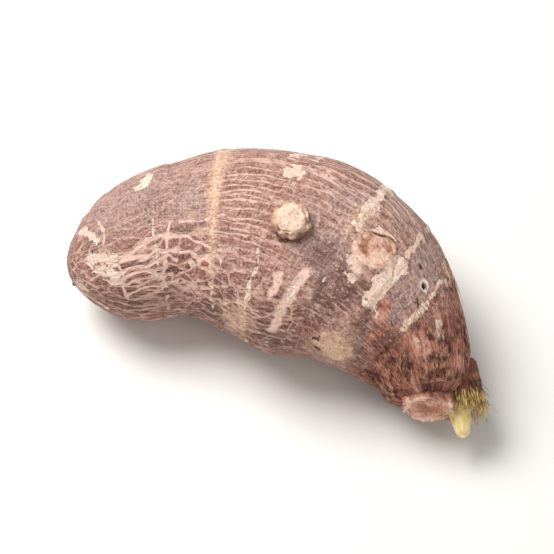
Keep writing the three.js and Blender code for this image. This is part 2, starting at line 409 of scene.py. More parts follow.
before_ring = np.exp(-((ring_distance / 0.95) ** 2))
after_ring = np.exp(-((ring_distance / 0.45) ** 2))
ridge = RIDGE * np.where(ring_distance < 0, before_ring, after_ring)
groove = GROOVE * np.exp(-(((ring_distance - GROOVE_AT) / 0.5) ** 2))
rings_relief = np.clip(boldness, 0.15, 1.2) * (ridge - groove)
crown_lean = 2.5 * smooth(np.cos(angle), 0.0, 1.0)  # it starts sooner on the hollow side
crown = smooth(along + crown_lean + 2.2 * bumps(growth, 6.0, 4), CROWN_STARTS, CROWN_REACHED)
streaks = bumps(growth, (1.5, 1.5, 13.0), 5)
folds = bumps(growth, (1.0, 1.0, 16.0), 6)
wrinkles = bumps(growth, (2.6, 2.6, 4.0), 7)
knobs = bumps(growth, (5.0, 5.0, 3.5), 10)
body_relief = (0.08 * streaks + 0.12 * wrinkles) * (1 - crown)
body_relief = body_relief + crown * (0.11 * folds + 0.16 * wrinkles + 0.30 * knobs)
relief = rings_relief + body_relief
print("relief from", relief.min().round(2), "to", relief.max().round(2), "mm")

# %% [markdown]
# ## Bud scars
# Where a side cormel broke off, the cork closed over a low button with a lip. Each scar is a bump in the
# same mesh, so its lip runs into the skin. Its own mask goes to the material.

# %% Scars in the skin
SCARS = [
    # along, degrees round, radius in mm, how oval, turned by, then the middle and half of the arc of degrees
    # on which the lip has cracked
    (63.1, 91, 4.0, 1.12, 35, 75, 75),
    (67.7, 22, 3.2, 1.35, -20, 205, 28),
    (37.6, 196, 3.1, 1.2, 0, 300, 60),
    (26.1, 312, 2.7, 1.2, 20, 120, 90),
]
LIP_SHARES = [0.0, 0.3, 0.5, 0.66, 0.84, 0.95, 1.08, 1.3, 1.6]  # of the radius
LIP_HEIGHTS = [0.30, 0.27, 0.24, 0.34, 0.44, 0.34, 0.10, -0.04, 0.0]  # mm
LARGE_SCAR = 3.5  # mm; only a larger one has a pale arc outside its lip
FAR_OFF = 9.0  # a share of the radius that no part of a scar reaches

bare_points = skin(along, angle)
scar_mask, scar_rim, pale_arcs = np.zeros((3, len(along)))
for number, (middle, degrees, radius, oval, turned, dark_arc, arc_half) in enumerate(SCARS):
    here = seat(middle, degrees)
    turn = math.radians(turned)
    off = bare_points - np.array(here.translation)
    x, y, z = (off @ np.array(here.col[axis][:3]) for axis in range(3))
    ahead = (x * math.cos(turn) + y * math.sin(turn)) / oval
    across = -x * math.sin(turn) + y * math.cos(turn)
    share = np.hypot(ahead, across) / radius + 0.17 * bumps(growth, 2.1, 20 + number)
    share = np.where(np.abs(z) < 2 * radius, share, FAR_OFF)
    relief = relief * (0.25 + 0.75 * smooth(share, 0.9, 1.5))
    relief = relief + np.interp(share, LIP_SHARES, LIP_HEIGHTS)
    relief = relief + 0.16 * bumps(growth, 0.9, 30 + number) * smooth(share, 1.1, 0.7)
    off_arc = np.degrees(np.arctan2(across, ahead)) - dark_arc
    off_arc = np.abs((off_arc + 180) % 360 - 180)
    on_arc = smooth(off_arc, arc_half + 25, arc_half - 25)
    scar_mask = np.maximum(scar_mask, smooth(share, 1.25, 0.75))
    lip = smooth(share, 0.76, 0.88) * smooth(share, 1.08, 0.96) * (0.7 + 0.4 * bumps(growth, 1.5, 35))
    scar_rim = np.maximum(scar_rim, lip * (0.1 + 0.9 * on_arc))
    pale_arc = smooth(share, 1.08, 1.2) * smooth(share, 1.42, 1.28) * smooth(off_arc, 50, 20)
    pale_arcs = np.maximum(pale_arcs, 0.8 * pale_arc * (radius > LARGE_SCAR))
print("vertices in scars:", int((scar_mask > 0.5).sum()))

# %% [markdown]
# ## Where the skin changes its look
# The skin isn't the same all over. Some stretches are rubbed bare to pale cork, some have a bold net, and
# some are grey and plain. Each such place is named as a soft oval on the skin, with its middle and its
# reach. Rings that are bare for part of their way are named as bands. The hidden side gets places of its
# own.

# %% Places
PLACES = {
    # along, degrees round, reach along, reach round in mm, strength
    "bare": [
        (8.6, 57, 2.9, 2.4, 1), (6.8, 66, 2.4, 1.5, 1), (10.4, 46, 1.6, 1.8, 0.95),
        (61.2, 76, 1.5, 1.3, 0.75), (62.6, 70, 1, 1.2, 0.7), (2.2, 22, 1.5, 2, 0.75),
        (1.6, 330, 1.4, 3, 0.7), (19.1, 123, 0.9, 2.6, 0.95), (18.3, 117, 1.4, 0.9, 0.8),
        (45.1, 112, 1.6, 2.6, 0.8), (43.7, 134, 1.3, 2.6, 0.75), (29, 45, 0.7, 0.9, 0.9),
        (74.7, 143, 1.2, 1.3, 1), (81.6, 108, 1.6, 1.3, 0.7), (28.1, 205, 3, 2.6, 0.85),
        (62.1, 168, 2.2, 3.2, 0.8), (42.1, 300, 3.2, 3.4, 0.75), (16.1, 262, 2.4, 2.8, 0.85),
        (54.1, 245, 1.8, 4.2, 0.8), (65.1, 318, 2, 2.4, 0.8),
    ],
    "net": [
        (3, 60, 5, 9, 1), (18.1, 45, 11, 8, 1), (30.1, 32, 10, 9, 1), (42.1, 24, 9, 9, 0.9),
        (52.1, 22, 8, 8, 0.7), (14.1, 20, 8, 7, 0.8), (30.1, 230, 20, 22, 0.9), (54.1, 200, 14, 12, 0.8),
        (24.1, 320, 16, 14, 0.9),
    ],
    "streak": [
        (40.1, 95, 7, 12, 1), (43.1, 68, 7, 6, 0.9), (51.1, 124, 9, 10, 1), (60.1, 140, 8, 8, 1),
        (37.1, 58, 5, 6, 0.8), (59.1, 118, 4, 5, 0.7), (50.1, 285, 16, 16, 0.9), (62.1, 190, 8, 12, 0.8),
        (16.1, 190, 10, 10, 0.7),
    ],
    "grey": [
        (63, 142, 7, 9, 0.8), (56, 104, 5, 6, 0.7), (72.1, 112, 3.6, 14, 1), (56.1, 70, 5.5, 6, 0.9),
        (16.1, 104, 11, 12, 0.9), (27.6, 84, 5.5, 10, 0.8), (52.1, 90, 6, 5, 0.5), (26.1, 160, 12, 14, 0.6),
        (74.1, 200, 5, 12, 0.8), (48.1, 255, 12, 10, 0.6), (68.1, 330, 6, 8, 0.6),
    ],
    "dark": [
        (63.1, 64, 4, 3.6, 1), (56.1, 70, 3, 3, 0.8), (60.1, 50, 4.5, 3.5, 0.9), (71.6, 58, 3.2, 4.5, 1),
        (60.1, 36, 5, 5, 0.8), (6.6, 80, 1.6, 1.4, 1), (76, 52, 3.6, 4, 0.9), (54.1, 22, 5, 4, 0.8),
        (49.1, 8, 14, 7, 0.8), (12.1, 14, 9, 6, 0.7), (30.1, 358, 12, 6, 0.7), (73.1, 30, 3, 6, 0.8),
        (49.1, 332, 26, 10, 0.5), (58.1, 228, 8, 9, 0.5),
    ],
    "yellow": [
        (33.6, 96, 0.85, 16, 1), (33.8, 124, 1, 10, 1), (67.7, 19, 3.4, 3.6, 1), (46.1, 14, 1.6, 5, 0.8),
        (42.1, 5, 3, 5, 0.6), (57.7, 97, 1.6, 3, 0.5), (32.1, 215, 2, 14, 0.8),
    ],
    "red": [
        (70.9, 68, 2, 2.4, 0.85), (61.1, 26, 4, 3.5, 0.5), (73.6, 52, 1.6, 3, 0.65),
    ],
}
print("places:", sum(len(places) for places in PLACES.values()))

# %% [markdown]
# ## Strokes and bands
# Long splits run over the skin like strokes, so each is named by the points that it passes. A ring has lost
# its whole cork along part of its way, and there a band of bare cork shows.

# %% Strokes and bands
# Strokes: half the width in mm, strength, and the points (along, degrees round) that they run through.
STROKES = {
    # what a stroke does: it splits the cork, bares it or scratches a bare place
    "split": [
        (0.95, 1, [(54.4, 57), (53.6, 48), (53.9, 40), (53.1, 32), (53.2, 24), (52.5, 16)]),
        (0.7, 1, [(50.2, 50), (50.9, 43), (50.3, 38)]), (0.8, 0.9, [(63.2, 74), (61.6, 78), (60.8, 84)]),
        (0.42, 1, [(11.5, 60), (15, 63), (18.5, 68), (23.2, 67), (28.5, 62), (32.7, 54), (37, 47)]),
        (0.36, 1, [(11.8, 57), (14.8, 59), (20, 58), (26.4, 54), (32, 48), (35.5, 40)]),
        (0.34, 1, [(10.4, 45), (13.9, 51), (17.4, 50), (22.4, 52), (25.5, 47)]),
        (0.38, 1, [(10.8, 40), (13, 44), (16.7, 46), (19.5, 41), (23, 38)]),
        (0.3, 0.9, [(12, 26), (16, 32), (20.5, 31), (26, 34), (30, 28), (34.5, 24)]),
        (0.34, 1, [(24.3, 74), (23.6, 66), (23.1, 57), (21.7, 46), (21.1, 37), (20, 27)]),
        (0.3, 0.9, [(33, 50), (33.1, 39), (33.9, 32), (32.8, 20)]),
        (0.3, 0.9, [(11, 56), (11.8, 45), (11.2, 34), (12, 22)]),
        (0.28, 0.8, [(8.5, 104), (9.5, 90), (9, 78)]), (0.28, 0.8, [(27, 74), (31.5, 72), (36, 74)]),
        (0.3, 0.9, [(66, 104), (67.5, 98), (68.6, 90)]),
        (0.3, 0.9, [(14, 214), (20, 220), (28, 216), (35, 224)]),
        (0.32, 0.9, [(15, 234), (22, 240), (30, 236), (39, 244)]),
        (0.3, 0.9, [(25.5, 206), (26.5, 222), (25, 240), (26, 256)]),
    ],
    "bare": [
        (0.5, 0.9, [(54.2, 54), (53.7, 46), (54, 41)]), (0.45, 0.9, [(53, 31), (53.3, 24)]),
        (0.45, 1, [(4.9, 117), (6.3, 98), (7.7, 83)]),
        (0.6, 0.9, [(0.5, 16), (1.1, -2), (3.6, 4), (6, -1)]),
    ],
    "scratch": [
        (0.24, 1, [(7.3, 59), (8, 55), (8.3, 50)]), (0.2, 1, [(8.6, 60), (9.2, 56)]),
    ],
}
# Bands of bare cork on rings: along, first and last degree, half the width in mm, strength
BANDS = [
    (6.7, 128, 168, 0.2, 0.9), (10.5, 30, 60, 0.2, 0.6), (20.6, 5, 85, 0.3, 0.85), (33.6, 10, 75, 0.3, 0.8),
    (46.6, 20, 62, 0.45, 0.75), (46.6, 96, 150, 0.4, 0.8), (46.6, -10, 20, 0.3, 0.6),
    (58.6, 92, 150, 0.95, 0.85), (58.6, 40, 70, 0.2, 0.5), (68.1, 64, 104, 1.9, 1.1),
    (68.1, 104, 136, 0.45, 0.9), (68.1, 136, 170, 0.4, 0.7), (76.5, 70, 130, 0.5, 1.1),
    (76.5, 128, 160, 0.65, 1), (80.5, 70, 95, 0.2, 0.6), (20.6, 200, 300, 0.3, 0.75),
    (33.6, 170, 250, 0.5, 0.8), (33.6, 270, 350, 0.3, 0.7), (46.6, 180, 290, 0.4, 0.8),
    (58.6, 175, 260, 0.4, 0.75), (58.6, 280, 345, 0.3, 0.7), (68.1, 190, 280, 0.8, 0.9),
    (68.1, 290, 350, 0.4, 0.8), (76.5, 180, 330, 0.4, 0.9),
]
print("strokes:", sum(len(strokes) for strokes in STROKES.values()), "bands:", len(BANDS))

# %% [markdown]
# ## From tables to masks
# Each table row becomes a soft mask on the vertices, 1 in the middle and 0 far off. Masks of a kind are
# joined by taking the larger one. Their edges stay soft here, and the material frays them.

# %% Masks
MASK_PEAK = 1.15  # a full mask reaches a little past 1, so that its middle is whole
FALL = 0.7  # how fast a mask falls with the distance over its reach
radius_here = section(s)[4].mean(axis=1)


def aside_from(degrees):
    """How far each vertex is from a line along the corm, in radians round it."""
    return wrapped(angle - math.radians(degrees))


ragged = bumps(growth, 1.6, 8)
masks = {}
for kind, places in PLACES.items():
    for middle, degrees, reach, reach_round, strength in places:
        off = np.hypot((along - middle) / reach, aside_from(degrees) * radius_here / reach_round)
        falls = 3 if kind == "bare" else 2  # bare cork has a whole middle and a crisp edge
        place = MASK_PEAK * strength * np.exp(-FALL * off**falls)
        masks[kind] = np.maximum(masks.get(kind, 0), place)
jitter = 0.3 * bumps(growth, 2.4, 11)
width_varies = 1 + 0.45 * bumps(growth, 3.5, 12)
for kind, strokes in STROKES.items():
    for half, strength, points in strokes:
        near = np.full(len(along), 99.0)
        for (middle, degrees), (next_middle, next_degrees) in zip(points, points[1:]):
            x = along + 0.6 * wander + jitter - middle
            y = aside_from(degrees) * radius_here + 1.5 * jitter
            end_x = next_middle - middle
            end_y = math.radians(next_degrees - degrees) * radius_here
            share = np.clip((x * end_x + y * end_y) / (end_x**2 + end_y**2 + 1e-6), 0, 1)
            near = np.minimum(near, np.hypot(x - share * end_x, y - share * end_y))
        masks[kind] = np.maximum(masks.get(kind, 0), strength * np.exp(-FALL * (near / half) ** 2))
masks["bare"] = masks["bare"] * (1 - 0.9 * masks.pop("scratch"))
for ring, first, last, half, strength in BANDS:
    aside = np.abs(aside_from((first + last) / 2)) * radius_here
    reach_round = math.radians((last - first) / 2) * radius_here
    half = half * width_varies
    band = smooth(np.abs(along + wander + jitter - ring) + 0.25 * ragged, half + 0.5, half - 0.4)
    masks["bare"] = np.maximum(masks["bare"], strength * band * smooth(aside - reach_round, 2.0, -2.0))
masks["bare"] = np.maximum(masks["bare"], pale_arcs)
for kind, mask in masks.items():
    print(kind, "covers", round(100 * (mask > 0.5).mean(), 1), "% of the skin")

# %% [markdown]
# ## Pits, and the skin's piece
# A few small pits are old root holes: dark dots, some of them in a pale ring. Bare cork stands a trace
# lower than whole cork. The finished relief then moves the vertices, and the flat spot keeps to the table.

# %% Pits and the finished skin
# along, degrees round, radius in mm, 1 where a pale ring stands round it
PITS = [
    (74.1, 108, 0.6, 1), (71.2, 114, 0.5, 0), (65.1, 11, 0.8, 0), (44.1, 210, 0.55, 1), (22.1, 250, 0.5, 0),
    (60.1, 300, 0.55, 1), (70.1, 240, 0.5, 0),
]
PIT_DEPTH = 0.5  # mm
PIT_LIP = 0.12  # mm
BARE_DEPTH = 0.10  # mm

pit_mask, pit_rim = np.zeros((2, len(along)))
for middle, degrees, radius, ringed in PITS:
    off = np.hypot(along - middle, aside_from(degrees) * radius_here) / radius
    pit_mask = np.maximum(pit_mask, smooth(off, 1.1, 0.6))
    pit_rim = np.maximum(pit_rim, ringed * smooth(off, 0.9, 1.3) * smooth(off, 2.0, 1.6))
relief = relief - PIT_DEPTH * pit_mask + PIT_LIP * pit_rim - BARE_DEPTH * masks["bare"] * (1 - scar_mask)
relief = relief + 0.07 * bumps(growth, 0.75, 9) * np.clip(masks["bare"] + 0.3, 0, 1)

skin_points = skin(along, angle, relief)
skin_points[:, 2] = np.maximum(skin_points[:, 2], 0)

keep(skin_mesh, "growth", growth, "FLOAT_VECTOR")
vertex_masks = {"crown": crown, "scar": scar_mask, "rim": scar_rim, "pit": pit_mask, "pit_rim": pit_rim,
                "relief": relief, **masks}
for name, values in vertex_masks.items():
    keep(skin_mesh, name, values)
print("skin box in mm:", skin_points.min(axis=0).round(1), skin_points.max(axis=0).round(1))

# %% [markdown]
# ## Cork skin: dry periderm
# The skin is periderm, a dry cork that is matt and a little rough. It is mauve brown where the cork is
# whole and cream where it has split or rubbed off. The net is a cell pattern stretched along the growth,
# with plates of about 2.5 by 7 mm between its splits. Streaks are a cell pattern stretched much further,
# 1.4 mm wide. All read the growth coordinates in mm, so a scale here is one over a size in mm.

# %% Sizes of the patterns
NETS = {
    # mm across and along a plate, then half the width of a split in mm: where it fades and where it is full
    "plates": (2.5, 7.0, 0.36, 0.14),
    "streaks": (1.4, 30.0, 0.22, 0.08),
    "hairlines": (1.2, 3.2, 0.20, 0.06),
}
WANDER = {"plates": (5.0, 5.0, 7.0), "streaks": (2.0, 2.0, 4.0), "hairlines": (5.0, 5.0, 7.0)}  # mm
SLOPE_STEP = 0.02
NOISES = {
    # how it is drawn out each way, bumps to a mm, detail
    "grain": ((1, 1, 0.9), 2.4, 5), "fibre": ((1, 1, 0.10), 1.5, 4), "hatch": ((0.3, 0.3, 1.8), 1.3, 4),
    "fray": ((1, 1, 0.5), 1.0, 5), "blotch": ((1, 1, 0.7), 0.17, 4), "patch": ((1, 1, 1), 0.4, 3),
    "fleck": ((1, 1, 0.6), 1.8, 3), "mottle": ((1, 1, 0.8), 0.8, 4), "tuft": ((1, 1, 0.08), 1.1, 5),
    "clump": ((1, 1, 0.6), 0.22, 4),
}
FRAY = 1.7  # how much noise is added to a mask before it is cut off
CHIPS = 0.8  # how much the corners of cork chips add to it
FRAYED = {
    # the range over which the mask is cut off, the noise and the chips added to it
    "bare": (0.14, FRAY, CHIPS), "dark": (0.5, FRAY, 0), "grey": (0.6, FRAY, 0), "red": (0.4, FRAY, 0),
    "crown": (0.8, FRAY, 0), "net": (0.9, FRAY, 0), "yellow": (0.9, 1.2, 0), "scar": (0.3, FRAY, 0),
    "rim": (0.3, FRAY, 0), "split": (0.4, 1.5, 0), "streak": (0.9, FRAY, 0),
}
CORK_ROUGHNESS = 0.82
CORK_SPECULAR = 0.3
print("patterns:", *NETS, *NOISES)

# %% [markdown]
# ## What shows where, and its colours
# Each net shows fully in its own places and in patches elsewhere. The tones are ramps that a noise steers,
# from the darkest to the palest that this kind of cork has.

# %% Nets' places and tones
SHOWN = {
    # the mask that a net shows in, how much of it patches show elsewhere, what is left of it in its gaps
    "plates": ("net", 0.25, 0.3), "streaks": ("streak", 0.45, 0.12), "hairlines": ("net", 0.15, 0.1),
}
TONES = {
    # the noise that steers it, then where each tone stands
    "whole": ("woven", [
        (0.41, "6a4037"), (0.46, "95675b"), (0.51, "b6897b"), (0.56, "d0a698"), (0.62, "efcec2")]),
    "cool": ("woven", [
        (0.41, "7a5f5b"), (0.47, "9e837d"), (0.52, "b79b94"), (0.58, "cbb0a8"), (0.66, "e5cdc4")]),
    "plate": ("toned", [(0.40, "4a231b"), (0.47, "6d3b2f"), (0.53, "8c5547"), (0.60, "b07a6a")]),
    "shaggy": ("matted", [
        (0.42, "46201a"), (0.465, "8a4a38"), (0.51, "bd7561"), (0.56, "dc9f89"), (0.62, "f6cbb9")]),
    "cream": ("grain", [(0.34, "dba38d"), (0.43, "fdd1ba"), (0.52, "ffe7d5"), (0.64, "fff5ea")]),
    "honey": ("grain", [(0.36, "c98f6c"), (0.44, "f2bf99"), (0.53, "ffdebc"), (0.64, "fff2e0")]),
    "tan": ("mottle", [(0.34, "a06c57"), (0.43, "cf9a82"), (0.53, "ecc0a8"), (0.66, "ffe0cd")]),
}
# How much of what is under them these masks cover
THIN = {"grey": 0.9, "net": 0.85, "streak": 0.22, "dark": 0.7, "crown": 0.9, "yellow": 0.66}
LAYERS = [
    # from the lowest up: the mask, and the tone or the colour that it lays on
    ("ruddy", "a37064"), ("grey", "cool"), ("net", "plate"), ("streak", "8f6357"), ("dark", "5c3a33"),
    ("red", "shaggy"), ("dark_flecks", "5b3930"), ("pale_flecks", "f0c8b8"), ("hairlines", "e6baa9"),
    ("streaks", "f2cdbf"), ("plates", "fbd0be"), ("split", "ffd6c6"), ("crown", "shaggy"),
    # The first two layers on the next line are painted shade: dark where the relief lies low, and a dark line
    # round bare patches.
    ("recess_shade", "4f2c22"), ("flake_edge_shade", "5a392f"), ("bare", "cream"), ("crackle", "a87862"), ("scar", "tan"),
    ("yellow", "honey"), ("rim", "5e4332"), ("pit", "3a2119"), ("pit_rim", "fff0e6"),
]
print("tones:", *TONES)

# %% [markdown]
# ## The nets
# A Voronoi pattern's distance to the edge draws a net of splits. It is read in coordinates that wander, so
# that the splits aren't ruled lines.

# %% Nets of splits


def cork_nets(tree, growth):
    """The lines of each net, 0 to 1, and a colour for each plate."""
    # The growth wanders over 7 mm, and each pattern goes along with it by its own number of mm.
    drift = add(tree, "TexNoise", {"Vector": growth, "Scale": 0.14, "Detail": 2.5}, out="Color")
    centred = add(tree, "VectorMath", (drift, (0.5, 0.5, 0.5)), operation="SUBTRACT")
    cells = {"Scale": 1.0, "Randomness": 0.95}
    lines = {}
    for name, (across, forward, fades, full) in NETS.items():
        bent = add(tree, "VectorMath", (centred, WANDER[name], growth), operation="MULTIPLY_ADD")
        at = add(tree, "Mapping", {"Vector": bent, "Scale": (1 / across, 1 / across, 1 / forward)})
        ahead = add(tree, "VectorMath", (at, (0, 0, SLOPE_STEP)), operation="ADD")
        edge, further = (add(tree, "TexVoronoi", {"Vector": place, **cells}, feature="DISTANCE_TO_EDGE")
                         for place in (at, ahead))
        # A stretched net has thick cross lines. Its slope along gives the distance to the line in real mm.
        rise = add(tree, "Math", (further, edge), operation="SUBTRACT")
        slope = add(tree, "Math", (rise, SLOPE_STEP), operation="DIVIDE")
        slope = add(tree, "Math", (slope, slope), operation="MULTIPLY", use_clamp=True)
        steepness = add(tree, "MapRange", (slope, 0, 1, across**-2, forward**-2))
        steepness = add(tree, "Math", (steepness,), operation="SQRT")
        apart = add(tree, "Math", (edge, steepness), operation="DIVIDE")
        lines[name] = add(tree, "MapRange", (apart, fades, full), interpolation_type="SMOOTHSTEP")
        if name == "plates":
            plate = add(tree, "TexVoronoi", {"Vector": at, **cells}, out="Color", feature="F1")
    return lines, plate

# %% [markdown]
# ## Layers of cork
# The colour is built in layers, as the cork is: whole cork, the plates and splits of the net, then what is
# rubbed bare, and the scars and pits on top. Two layers are painted shade: a darkening where the relief
# lies low, and a thin dark line round bare patches, as the shadow of a flake's edge. Each layer has a mask,
# and a mask is frayed before it is used.

# %% Skin material


def periderm():
    material, tree, shader = new_material("periderm_cork")
    growth = add(tree, "Attribute", out="Vector", attribute_name="growth")
    mask = {name: add(tree, "Attribute", out="Fac", attribute_name=name) for name in vertex_masks}
    lines, cell = cork_nets(tree, growth)
    noises = {name: noise_of(tree, growth, per_mm, detail, drawn_out, 0.65)
              for name, (drawn_out, per_mm, detail) in NOISES.items()}
    chip_size = add(tree, "Mapping", {"Vector": growth, "Scale": (0.75, 0.75, 0.5)})
    chips = add(tree, "TexVoronoi", {"Vector": chip_size, "Scale": 1.0}, out="Color", feature="F1")

    # Masks that fray: a mask plus noise, cut off over a narrow range. Cork comes off in chips, with corners.
    rough, cut, frayed = {}, {}, {}
    for name, (sharp, fray, chip) in FRAYED.items():
        rough[name] = sum_of(tree, (mask[name], 1), (noises["fray"], fray), (chips, chip))
        cut[name] = 0.5 + 0.5 * (fray + chip)
        frayed[name] = add(tree, "MapRange", (rough[name], cut[name] - sharp / 2, cut[name] + sharp / 2))

    # Where each kind of line shows: its own places in full, elsewhere only in patches.
    shown = {}
    calm = add(tree, "MapRange", (mask["grey"], 0, 1, 1.0, 0.25))
    for name, (place, least, left) in SHOWN.items():
        patchy = add(tree, "MapRange", (noises["patch"], 0.44, 0.60, 0, least * 1.6))
        patchy = add(tree, "Math", (patchy, calm), operation="MULTIPLY")
        where = add(tree, "Math", (mask[place], patchy), operation="MAXIMUM")
        whole = add(tree, "MapRange", (noises["fray"], 0.40, 0.55, left))
        drawn = add(tree, "Math", (lines[name], where), operation="MULTIPLY")
        shown[name] = add(tree, "Math", (drawn, whole), operation="MULTIPLY")

    # Whole cork: an even grain with fine wrinkles round the corm, and plates with tones of their own.
    weave = [(noises["grain"], 1), (noises["hatch"], 0.45), (noises["fibre"], 0.35)]
    noises["woven"] = sum_of(tree, *weave, mean=True)
    noises["toned"] = sum_of(tree, *weave, (cell, 0.30), mean=True)
    clumps = [(noises["tuft"], 1), (noises["clump"], 1.2), (noises["mottle"], 0.35)]
    noises["matted"] = sum_of(tree, *clumps, mean=True)
    tone = {name: add(tree, "ValToRGB", {0: noises[steers]}, stops=stops)
            for name, (steers, stops) in TONES.items()}

    # Thin layers let what is under them show. Others lie where two masks meet, or over a range of a value.
    thin = {name: add(tree, "Math", (frayed[name], share), operation="MULTIPLY")
            for name, share in THIN.items()}
    shag = add(tree, "Math", (frayed["crown"], noises["tuft"]), operation="MULTIPLY")
    crackled = add(tree, "Math", (frayed["bare"], lines["hairlines"]), operation="MULTIPLY")
    thin["crackle"] = add(tree, "Math", (crackled, 0.16), operation="MULTIPLY")
    thin["hairlines"] = add(tree, "Math", (shown["hairlines"], 0.45), operation="MULTIPLY")
    for name, value, start, end, most in (
            # Painted shadow: the first layer here is a thin dark line just outside each bare patch, as if a
            # flake's edge cast it.
            ("flake_edge_shade", rough["bare"], cut["bare"] - 0.18, cut["bare"] - 0.06, 0.3),
            ("pale_flecks", noises["fleck"], 0.58, 0.64, 0.55),
            ("dark_flecks", noises["fleck"], 0.40, 0.33, 0.55),
            # Painted shade: the last layer here darkens the cork where the relief lies low, in ring grooves,
            # pits, scars and crown folds.
            ("ruddy", noises["blotch"], 0.46, 0.62, 0.4), ("recess_shade", mask["relief"], -0.06, -0.40, 0.42)):
        thin[name] = add(tree, "MapRange", (value, start, end, 0, most))
    lies = {**mask, **frayed, **shown, **thin}
    base = layered(tree, tone["whole"], [(lies[name], tone.get(tint, tint)) for name, tint in LAYERS])

    # Splits lie lower than plates, and the grain is felt everywhere.
    height = sum_of(tree, (noises["grain"], 1), (noises["hatch"], 0.5), (shown["plates"], -0.5),
                    (shown["streaks"], -0.3), (frayed["split"], -0.5), (frayed["bare"], -0.3), (shag, 2.0))
    finish_shader(tree, shader, base, CORK_ROUGHNESS, CORK_SPECULAR, (height, 0.85, 0.6))
    return material


corm_skin = finish_piece("corm_skin", skin_mesh, skin_points, periderm())
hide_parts("corm")

# %% [markdown]
# ## Turned forms for what grew on the corm
# Buds, the broken ends, the cushion and the sprout's scales are all round forms. Each starts as a sphere
# from one operator, and its rows are moved to a profile, so the form is closed at both poles. Relief is
# given by a function of the share of the way down, the angle and the place. The matrix then stands it on
# the skin.

# %% Turned forms


def turned_form(name, profile, place, material, relief, around=128, rows=64):
    ball_form = bmesh.new()
    bmesh.ops.create_uvsphere(ball_form, u_segments=around, v_segments=rows, radius=1)
    mesh = mesh_from(ball_form, name)
    unit = points_of(mesh)
    down = np.arccos(np.clip(unit[:, 2], -1, 1)) / math.pi
    round_it = np.arctan2(unit[:, 1], unit[:, 0])
    profile = np.array(profile, dtype=float)
    at = curve_at(profile, down)
    way = curve_at(profile, down + 1e-3) - curve_at(profile, down - 1e-3)
    way /= np.linalg.norm(way, axis=1)[:, None] + 1e-9
    local = np.stack([at[:, 0] * np.cos(round_it), at[:, 0] * np.sin(round_it), at[:, 1]], axis=1)
    proud = relief(down, round_it, local)
    out = np.stack([-way[:, 1] * np.cos(round_it), -way[:, 1] * np.sin(round_it), way[:, 0]], axis=1)
    shaped = local + out * (proud * np.minimum(1, at[:, 0] / 0.3))[:, None]
    keep(mesh, "growth", local, "FLOAT_VECTOR")
    keep(mesh, "down", down)
    keep(mesh, "relief", proud)
    placed = placed_in(shaped, place)
    placed[:, 2] = np.maximum(placed[:, 2], 0)
    return finish_piece(name, mesh, placed, material)

# %% [markdown]
# ## Bud cork
# A bud's cork is the same stuff, but it is drawn tight: cream and rubbed on top and dark round its foot.
# The share of the way down steers it, made uneven by patches, and painted shade darkens its folds where the
# relief lies low.

# %% Bud material


def bud_cork(name, tones, speck, fold_shade_tint):
    material, tree, shader = new_material(name)
    growth = add(tree, "Attribute", out="Vector", attribute_name="growth")
    down, relief = (add(tree, "Attribute", out="Fac", attribute_name=kept) for kept in ("down", "relief"))
    grain = noise_of(tree, growth, 2.4, 5, roughness=0.65)
    patch = noise_of(tree, growth, 0.7, 3)
    mixed = sum_of(tree, (down, 1), (patch, 0.5))
    speckle = add(tree, "MapRange", (grain, 0.52, 0.36, 0, 0.6))
    # Painted shade: darker in the folds, where the relief lies low.
    painted_crease_shade = add(tree, "MapRange", (relief, -0.08, -0.42, 0, 0.8))
    base = layered(tree, add(tree, "ValToRGB", {0: mixed}, stops=tones), [(speckle, speck), (painted_crease_shade, fold_shade_tint)])
    finish_shader(tree, shader, base, CORK_ROUGHNESS, CORK_SPECULAR, (grain, 0.6, 0.3))
    return material


RUBBED = [(0.42, "f3d3bd"), (0.55, "e3bda5"), (0.67, "bd927c"), (0.79, "74503f")]
# The last colour is the painted shade in the bud's folds.
cream_bud = bud_cork("rubbed_bud_cork", RUBBED, "a87f6b", "5d4135")

# %% [markdown]
# ## The side bud
# It stands on top like a worn knob: a drum with a wrinkled side and a rubbed cap. A faint crack runs round
# the cap, where the bud's outer scale has let go. The small buds on the hidden side are the same form,
# smaller.

# %% Side bud
BUD_PROFILE = [
    (0, 3.25), (1.3, 3.3), (2.4, 3.2), (3.1, 2.8), (3.35, 2.3), (3.75, 1.9), (3.85, 1.3), (3.6, 0.75),
    (3.6, 0.2), (4.05, -0.3), (4.3, -1.2), (3, -2.4), (0, -2.8),
]
CRACK_AT = 3.15  # mm from the middle: it parts the cap from the drum


def knob_relief(down, around, local):
    wrinkles = bumps(local, (1.1, 1.1, 3.2), 40) * smooth(down, 0.2, 0.34)
    creases = 1 - smooth(np.abs(bumps(local, 1.7, 42)), 0.0, 0.22)
    flakes = bumps(local, (1.5, 1.5, 0.7), 43)
    off = np.abs(np.hypot(local[:, 0], local[:, 1]) - CRACK_AT - 0.5 * bumps(local, 2.4, 44))
    crack = smooth(off, 0.34, 0.05) * (down < 0.45)
    return 0.24 * wrinkles + 0.20 * flakes - 0.07 * creases + 0.13 * bumps(local, 0.7, 45) - 0.15 * crack


def small_relief(seed):
    def relief_of(down, around, local):
        wrinkles = bumps(local, (1.1, 1.1, 3.2), seed) * smooth(down, 0.2, 0.34)
        return 0.22 * wrinkles + 0.16 * bumps(local, 1.0, seed + 1)
    return relief_of


turned_form("side_bud", BUD_PROFILE, seat(49.0, 79), cream_bud, knob_relief, rows=96)
SMALL_BUDS = [
    # name, along, degrees round, size beside the large one
    ("near_the_base", 23.6, 222, 0.58),
    ("near_the_crown", 61.6, 208, 0.68),
    ("on_the_crown", 72.7, 296, 0.5),
]
for number, (name, place, degrees, scale) in enumerate(SMALL_BUDS):
    small = [(r * scale, h * scale) for r, h in BUD_PROFILE]
    relief_of = small_relief(50 + number)
    turned_form("bud_" + name, small, seat(place, degrees), cream_bud, relief_of, 96)

# %% [markdown]
# ## Broken ends
# The crown ends in the stump of a leaf base: a lens of dry flesh with a pale lip. At the other end is the
# small scar of the neck that held the cormel to its mother.

